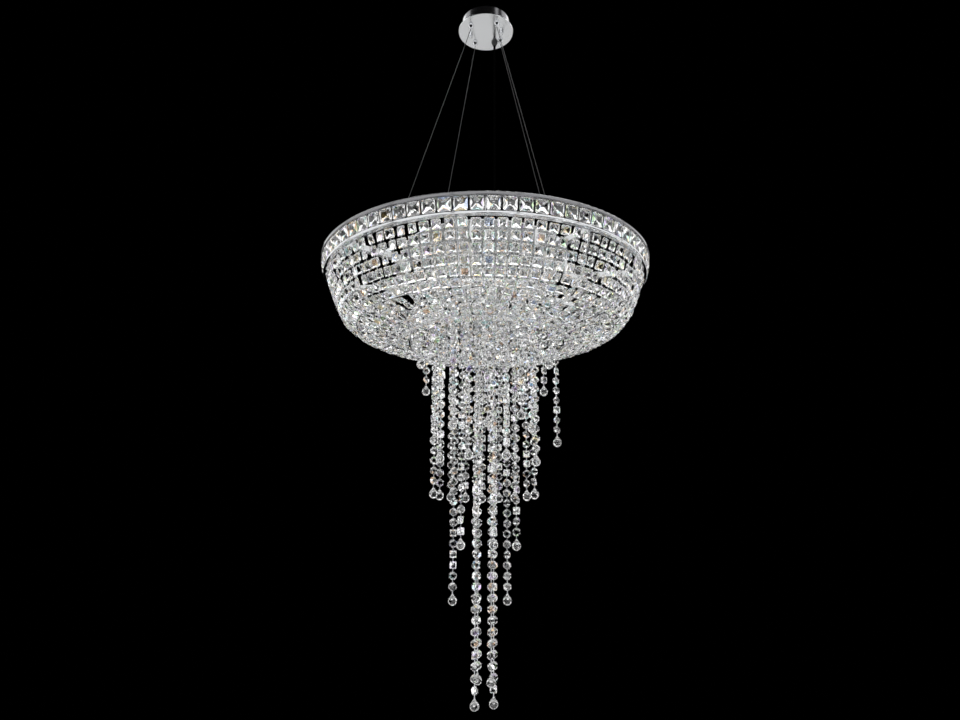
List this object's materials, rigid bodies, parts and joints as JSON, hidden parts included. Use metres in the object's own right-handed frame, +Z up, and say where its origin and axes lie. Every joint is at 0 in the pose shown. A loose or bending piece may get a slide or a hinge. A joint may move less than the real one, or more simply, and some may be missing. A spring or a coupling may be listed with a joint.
{
  "type": "bowl chandelier",
  "caption": "Crystal bowl chandelier with a tiled rim and a central bead cascade, hung on wires from a round chrome canopy; adjustable drop, swinging strands, plug-in lamps.",
  "frame": {"origin": "on the ceiling plane, over the middle of the canopy, at the centre of the two ceiling box screws", "axes": "+Z up into the ceiling, -Y towards the viewer of the picture, +X to that viewer's right"},
  "size_m": [0.7566, 0.7568, 1.6427],
  "materials": {
    "chrome": "polished chrome plate",
    "zinc_steel": "zinc-plated steel",
    "frame_steel": "chromed steel frame",
    "wire": "stranded steel wire",
    "black_plastic": "black nylon",
    "cord_jacket": "black cord jacket",
    "terminal_plastic": "white plastic",
    "lamp_ceramic": "white ceramic",
    "bulb_glass": "frosted glass",
    "crystal": "clear cut crystal"
  },
  "bodies": {
    "ceiling_mount": {"ceiling_bracket": "zinc_steel", "bracket_studs": "zinc_steel", "canopy": "chrome", "terminal_block": "terminal_plastic", "gripper_bodies": "chrome", "gripper_nuts": "zinc_steel", "wire_tails": "wire", "suspension_wires": "wire", "cord_gland": "black_plastic", "gland_nut": "black_plastic", "power_cord": "cord_jacket"},
    "chandelier": {"wire_anchors": "chrome", "upper_hoop": "chrome", "lower_hoop": "chrome", "band_crystals": "crystal", "band_pins": "frame_steel", "hoop_posts": "frame_steel", "hub": "frame_steel", "hub_cover": "frame_steel", "hub_screws": "zinc_steel", "spokes": "frame_steel", "lamp_leads": "cord_jacket", "plate_columns": "frame_steel", "hanging_plate": "frame_steel", "lamp_sockets": "lamp_ceramic", "bowl_ribs": "frame_steel", "mid_hoop": "frame_steel", "bottom_ring": "chrome", "wall_strands_1": "crystal", "wall_strands_2": "crystal", "wall_strands_3": "crystal", "wall_strands_4": "crystal", "floor_strands_1": "crystal", "floor_strands_2": "crystal", "cascade_inner": "crystal", "cascade_middle": "crystal", "cascade_outer": "crystal"},
    "gripper_collar_1": {"gripper_collar_1": "chrome"},
    "gripper_collar_2": {"gripper_collar_2": "chrome"},
    "gripper_collar_3": {"gripper_collar_3": "chrome"},
    "gripper_collar_4": {"gripper_collar_4": "chrome"},
    "cap_nut_1": {"cap_nut_1": "chrome"},
    "cap_nut_2": {"cap_nut_2": "chrome"},
    "bulb_1": {"bulb_1": "bulb_glass"},
    "bulb_2": {"bulb_2": "bulb_glass"},
    "bulb_3": {"bulb_3": "bulb_glass"},
    "bulb_4": {"bulb_4": "bulb_glass"},
    "bulb_5": {"bulb_5": "bulb_glass"},
    "bulb_6": {"bulb_6": "bulb_glass"},
    "bulb_7": {"bulb_7": "bulb_glass"},
    "bulb_8": {"bulb_8": "bulb_glass"},
    "core_strand_1": {"core_strand_1": "crystal"},
    "core_strand_2": {"core_strand_2": "crystal"},
    "core_strand_3": {"core_strand_3": "crystal"},
    "core_strand_4": {"core_strand_4": "crystal"},
    "long_strand": {"long_strand": "crystal"}
  },
  "joints": [
    {"name": "height_adjust", "type": "slide", "parent": "ceiling_mount", "child": "chandelier", "axis": [0, 0, 1], "range_m": [0, 0.25], "deforming": ["suspension_wires", "power_cord"]},
    {"name": "gripper_release_1", "type": "slide", "parent": "ceiling_mount", "child": "gripper_collar_1", "axis": [0, 0, 1], "range_m": [0, 0.0025], "stiffness_N_per_m": 400},
    {"name": "gripper_release_2", "type": "slide", "parent": "ceiling_mount", "child": "gripper_collar_2", "axis": [0, 0, 1], "range_m": [0, 0.0025], "stiffness_N_per_m": 400},
    {"name": "gripper_release_3", "type": "slide", "parent": "ceiling_mount", "child": "gripper_collar_3", "axis": [0, 0, 1], "range_m": [0, 0.0025], "stiffness_N_per_m": 400},
    {"name": "gripper_release_4", "type": "slide", "parent": "ceiling_mount", "child": "gripper_collar_4", "axis": [0, 0, 1], "range_m": [0, 0.0025], "stiffness_N_per_m": 400},
    {"name": "cap_nut_turn_1", "type": "hinge", "parent": "ceiling_mount", "child": "cap_nut_1", "pos_m": [0.03951, -0.00626, -0.0375], "axis": [0, 0, 1], "continuous": true},
    {"name": "cap_nut_turn_2", "type": "hinge", "parent": "ceiling_mount", "child": "cap_nut_2", "pos_m": [-0.03951, 0.00626, -0.0375], "axis": [0, 0, 1], "continuous": true},
    {"name": "bulb_pull_1", "type": "slide", "parent": "chandelier", "child": "bulb_1", "axis": [0, 0, -1], "range_m": [0, 0.03]},
    {"name": "bulb_pull_2", "type": "slide", "parent": "chandelier", "child": "bulb_2", "axis": [0, 0, -1], "range_m": [0, 0.03]},
    {"name": "bulb_pull_3", "type": "slide", "parent": "chandelier", "child": "bulb_3", "axis": [0, 0, -1], "range_m": [0, 0.03]},
    {"name": "bulb_pull_4", "type": "slide", "parent": "chandelier", "child": "bulb_4", "axis": [0, 0, -1], "range_m": [0, 0.03]},
    {"name": "bulb_pull_5", "type": "slide", "parent": "chandelier", "child": "bulb_5", "axis": [0, 0, -1], "range_m": [0, 0.03]},
    {"name": "bulb_pull_6", "type": "slide", "parent": "chandelier", "child": "bulb_6", "axis": [0, 0, -1], "range_m": [0, 0.03]},
    {"name": "bulb_pull_7", "type": "slide", "parent": "chandelier", "child": "bulb_7", "axis": [0, 0, -1], "range_m": [0, 0.03]},
    {"name": "bulb_pull_8", "type": "slide", "parent": "chandelier", "child": "bulb_8", "axis": [0, 0, -1], "range_m": [0, 0.03]},
    {"name": "core_strand_swing_1", "type": "hinge", "parent": "chandelier", "child": "core_strand_1", "pos_m": [0.01411, -0.01942, -0.6533], "axis": [-0.809, -0.5878, 0], "range_deg": [-0.5, 1.8]},
    {"name": "core_strand_swing_2", "type": "hinge", "parent": "chandelier", "child": "core_strand_2", "pos_m": [0.01942, 0.01411, -0.6533], "axis": [0.5878, -0.809, 0], "range_deg": [-0.5, 1.8]},
    {"name": "core_strand_swing_3", "type": "hinge", "parent": "chandelier", "child": "core_strand_3", "pos_m": [-0.01411, 0.01942, -0.6533], "axis": [0.809, 0.5878, 0], "range_deg": [-0.5, 1.8]},
    {"name": "core_strand_swing_4", "type": "hinge", "parent": "chandelier", "child": "core_strand_4", "pos_m": [-0.01942, -0.01411, -0.6533], "axis": [-0.5878, 0.809, 0], "range_deg": [-0.5, 1.8]},
    {"name": "long_strand_swing", "type": "hinge", "parent": "chandelier", "child": "long_strand", "pos_m": [0.16, 0, -0.6533], "axis": [0, -1, 0], "range_deg": [-1.5, 1.5]}
  ]
}
